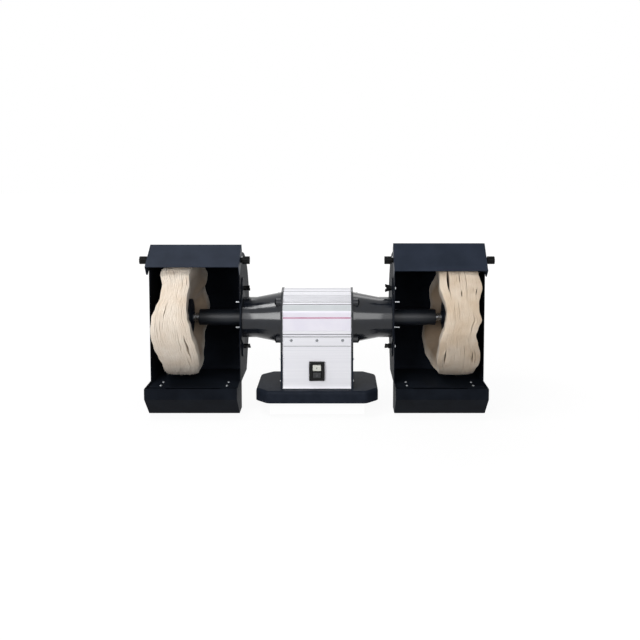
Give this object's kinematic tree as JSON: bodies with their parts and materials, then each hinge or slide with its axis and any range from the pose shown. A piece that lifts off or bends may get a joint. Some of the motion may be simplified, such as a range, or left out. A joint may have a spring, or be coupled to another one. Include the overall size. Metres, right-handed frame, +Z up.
{
  "type": "buffing machine",
  "caption": "Twin-wheel buffing machine head: motor body on a base, long spindles with cotton buffs inside open sheet-metal hoods with tilting flaps and dust trays.",
  "frame": {"origin": "middle of the base underside, in the plane that the pedestal or bench meets", "axes": "+X along the shaft towards the right-hand hood seen from the front, -Y towards the operator, +Z up"},
  "size_m": [1.0396, 0.3632, 0.4942],
  "materials": {
    "silver_aluminium": "satin anodised extrusion",
    "dark_casting": "anthracite enamel on castings",
    "black_sheet": "anthracite powder coat on sheet steel",
    "zinc_steel": "bright zinc plate",
    "bright_steel": "ground steel",
    "copper_winding": "enamelled copper wire",
    "black_plastic": "moulded black polyamide",
    "seal_rubber": "nitrile rubber",
    "switch_plastic": "moulded black",
    "start_plastic": "moulded white",
    "stop_plastic": "moulded dark grey",
    "cotton": "unbleached cotton plies"
  },
  "bodies": {
    "frame": {"base_plate": "dark_casting", "pedestal_housing": "silver_aluminium", "pedestal_side_left": "dark_casting", "pedestal_side_right": "dark_casting", "motor_housing": "silver_aluminium", "end_bell_left": "dark_casting", "end_bell_right": "dark_casting", "end_bell_bolts": "dark_casting", "housing_screws": "zinc_steel", "pedestal_bolts": "zinc_steel", "side_plate_screws": "zinc_steel", "stator_core": "bright_steel", "stator_windings": "copper_winding", "bearing_outer_rings": "bright_steel", "spindle_tube_left": "black_sheet", "spindle_tube_right": "black_sheet", "tube_seals": "seal_rubber", "switch_body": "switch_plastic", "terminal_block": "black_plastic", "cable_gland": "black_plastic", "carrier_plate_left": "black_sheet", "carrier_plate_right": "black_sheet", "carrier_studs": "zinc_steel", "clamp_nuts": "zinc_steel"},
    "rotor": {"shaft": "bright_steel", "rotor_core": "bright_steel", "bearing_inner_rings": "bright_steel", "bearing_balls": "bright_steel", "inner_flanges": "dark_casting", "outer_flanges": "dark_casting", "spindle_nuts": "zinc_steel", "buff_left": "cotton", "buff_right": "cotton"},
    "hood_left": {"hood_inner_wall_left": "black_sheet", "hood_outer_wall_left": "black_sheet", "hood_wrap_left": "black_sheet", "dust_tray_left": "black_sheet", "tray_screws_left": "zinc_steel", "flap_fittings_left": "zinc_steel"},
    "hood_right": {"hood_inner_wall_right": "black_sheet", "hood_outer_wall_right": "black_sheet", "hood_wrap_right": "black_sheet", "dust_tray_right": "black_sheet", "tray_screws_right": "zinc_steel", "flap_fittings_right": "zinc_steel"},
    "flap_left": {"flap_left": "black_sheet"},
    "flap_right": {"flap_right": "black_sheet"},
    "flap_knob_left_inner": {"flap_knob_left_inner": "black_plastic"},
    "flap_knob_left_outer": {"flap_knob_left_outer": "black_plastic"},
    "flap_knob_right_inner": {"flap_knob_right_inner": "black_plastic"},
    "flap_knob_right_outer": {"flap_knob_right_outer": "black_plastic"},
    "clamp_left_upper": {"clamp_left_upper": "black_plastic"},
    "clamp_left_lower": {"clamp_left_lower": "black_plastic"},
    "clamp_right_upper": {"clamp_right_upper": "black_plastic"},
    "clamp_right_lower": {"clamp_right_lower": "black_plastic"},
    "start_button": {"start_button": "start_plastic"},
    "stop_button": {"stop_button": "stop_plastic"}
  },
  "joints": [
    {"name": "rotor_spin", "type": "hinge", "parent": "frame", "child": "rotor", "pos_m": [0, 0, 0.23], "axis": [1, 0, 0], "continuous": true},
    {"name": "hood_height_left", "type": "slide", "parent": "frame", "child": "hood_left", "axis": [0, 0, 1], "range_m": [-0.005, 0.005]},
    {"name": "flap_tilt_left", "type": "hinge", "parent": "hood_left", "child": "flap_left", "pos_m": [-0.358, -0.048, 0.408], "axis": [1, 0, 0], "range_deg": [-26, 15]},
    {"name": "flap_knob_left_inner_turn", "type": "hinge", "parent": "hood_left", "child": "flap_knob_left_inner", "pos_m": [-0.214, -0.048, 0.408], "axis": [1, 0, 0], "range_deg": [0, 360]},
    {"name": "flap_knob_left_outer_turn", "type": "hinge", "parent": "hood_left", "child": "flap_knob_left_outer", "pos_m": [-0.503, -0.048, 0.408], "axis": [1, 0, 0], "range_deg": [0, 360]},
    {"name": "clamp_left_upper_turn", "type": "hinge", "parent": "frame", "child": "clamp_left_upper", "pos_m": [-0.215, 0, 0.318], "axis": [1, 0, 0], "range_deg": [0, 360]},
    {"name": "clamp_left_lower_turn", "type": "hinge", "parent": "frame", "child": "clamp_left_lower", "pos_m": [-0.215, 0, 0.142], "axis": [1, 0, 0], "range_deg": [0, 360]},
    {"name": "hood_height_right", "type": "slide", "parent": "frame", "child": "hood_right", "axis": [0, 0, 1], "range_m": [-0.005, 0.005]},
    {"name": "flap_tilt_right", "type": "hinge", "parent": "hood_right", "child": "flap_right", "pos_m": [0.358, -0.048, 0.408], "axis": [1, 0, 0], "range_deg": [-39, 2]},
    {"name": "flap_knob_right_inner_turn", "type": "hinge", "parent": "hood_right", "child": "flap_knob_right_inner", "pos_m": [0.214, -0.048, 0.408], "axis": [1, 0, 0], "range_deg": [0, 360]},
    {"name": "flap_knob_right_outer_turn", "type": "hinge", "parent": "hood_right", "child": "flap_knob_right_outer", "pos_m": [0.503, -0.048, 0.408], "axis": [1, 0, 0], "range_deg": [0, 360]},
    {"name": "clamp_right_upper_turn", "type": "hinge", "parent": "frame", "child": "clamp_right_upper", "pos_m": [0.215, 0, 0.318], "axis": [1, 0, 0], "range_deg": [0, 360]},
    {"name": "clamp_right_lower_turn", "type": "hinge", "parent": "frame", "child": "clamp_right_lower", "pos_m": [0.215, 0, 0.142], "axis": [1, 0, 0], "range_deg": [0, 360]},
    {"name": "start_button_press", "type": "slide", "parent": "frame", "child": "start_button", "axis": [0, 1, 0], "range_m": [0, 0.0035], "stiffness_N_per_m": 400},
    {"name": "stop_button_press", "type": "slide", "parent": "frame", "child": "stop_button", "axis": [0, 1, 0], "range_m": [0, 0.0035], "stiffness_N_per_m": 400}
  ]
}
